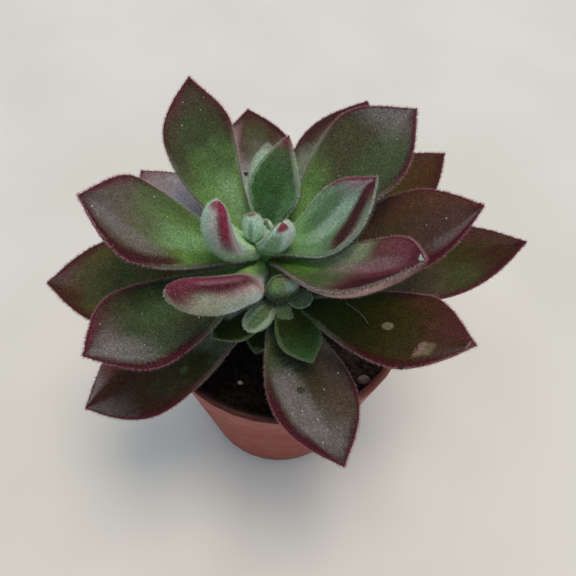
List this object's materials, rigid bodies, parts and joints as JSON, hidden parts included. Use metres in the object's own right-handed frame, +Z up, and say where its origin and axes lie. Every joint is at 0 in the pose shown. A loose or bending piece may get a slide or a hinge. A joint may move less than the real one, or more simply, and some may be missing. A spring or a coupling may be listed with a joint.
{
  "type": "potted echeveria",
  "caption": "Young echeveria with a rosette of velvety, red-edged green and brown leaves, growing in a small tapered terracotta-coloured plastic pot.",
  "frame": {"origin": "centre of the pot's foot, on the surface it stands on", "axes": "+Z up, -Y towards the side that shows the small side shoot, +X to the right of it"},
  "size_m": [0.0919, 0.0801, 0.092],
  "materials": {
    "pot": "matte, faintly satin",
    "soil": "rough, damp",
    "stem": "matte, slightly fuzzy",
    "pebble": "matte",
    "perlite": "matte",
    "crown": "velvety",
    "side_shoot": "velvety",
    "leaf_01": "velvety",
    "leaf_02": "velvety",
    "leaf_03": "velvety",
    "leaf_04": "velvety",
    "leaf_05": "velvety",
    "leaf_06": "velvety",
    "leaf_07": "velvety",
    "leaf_08": "velvety",
    "leaf_09": "velvety",
    "leaf_10": "velvety",
    "leaf_11": "velvety",
    "leaf_12": "velvety",
    "leaf_13": "velvety",
    "leaf_14": "velvety",
    "leaf_15": "velvety",
    "leaf_16": "velvety",
    "leaf_17": "velvety",
    "leaf_18": "velvety",
    "leaf_19": "velvety",
    "leaf_20": "velvety",
    "leaf_21": "velvety",
    "leaf_22": "velvety"
  },
  "bodies": {
    "root": {"pot": "pot", "soil": "soil", "stem": "stem", "pebble": "pebble", "perlite": "perlite", "crown": "crown", "side_shoot": "side_shoot", "leaf_01": "leaf_01", "leaf_02": "leaf_02", "leaf_03": "leaf_03", "leaf_04": "leaf_04", "leaf_05": "leaf_05", "leaf_06": "leaf_06", "leaf_07": "leaf_07", "leaf_08": "leaf_08", "leaf_09": "leaf_09", "leaf_10": "leaf_10", "leaf_11": "leaf_11", "leaf_12": "leaf_12", "leaf_13": "leaf_13", "leaf_14": "leaf_14", "leaf_15": "leaf_15", "leaf_16": "leaf_16", "leaf_17": "leaf_17", "leaf_18": "leaf_18", "leaf_19": "leaf_19", "leaf_20": "leaf_20", "leaf_21": "leaf_21", "leaf_22": "leaf_22"}
  },
  "joints": []
}
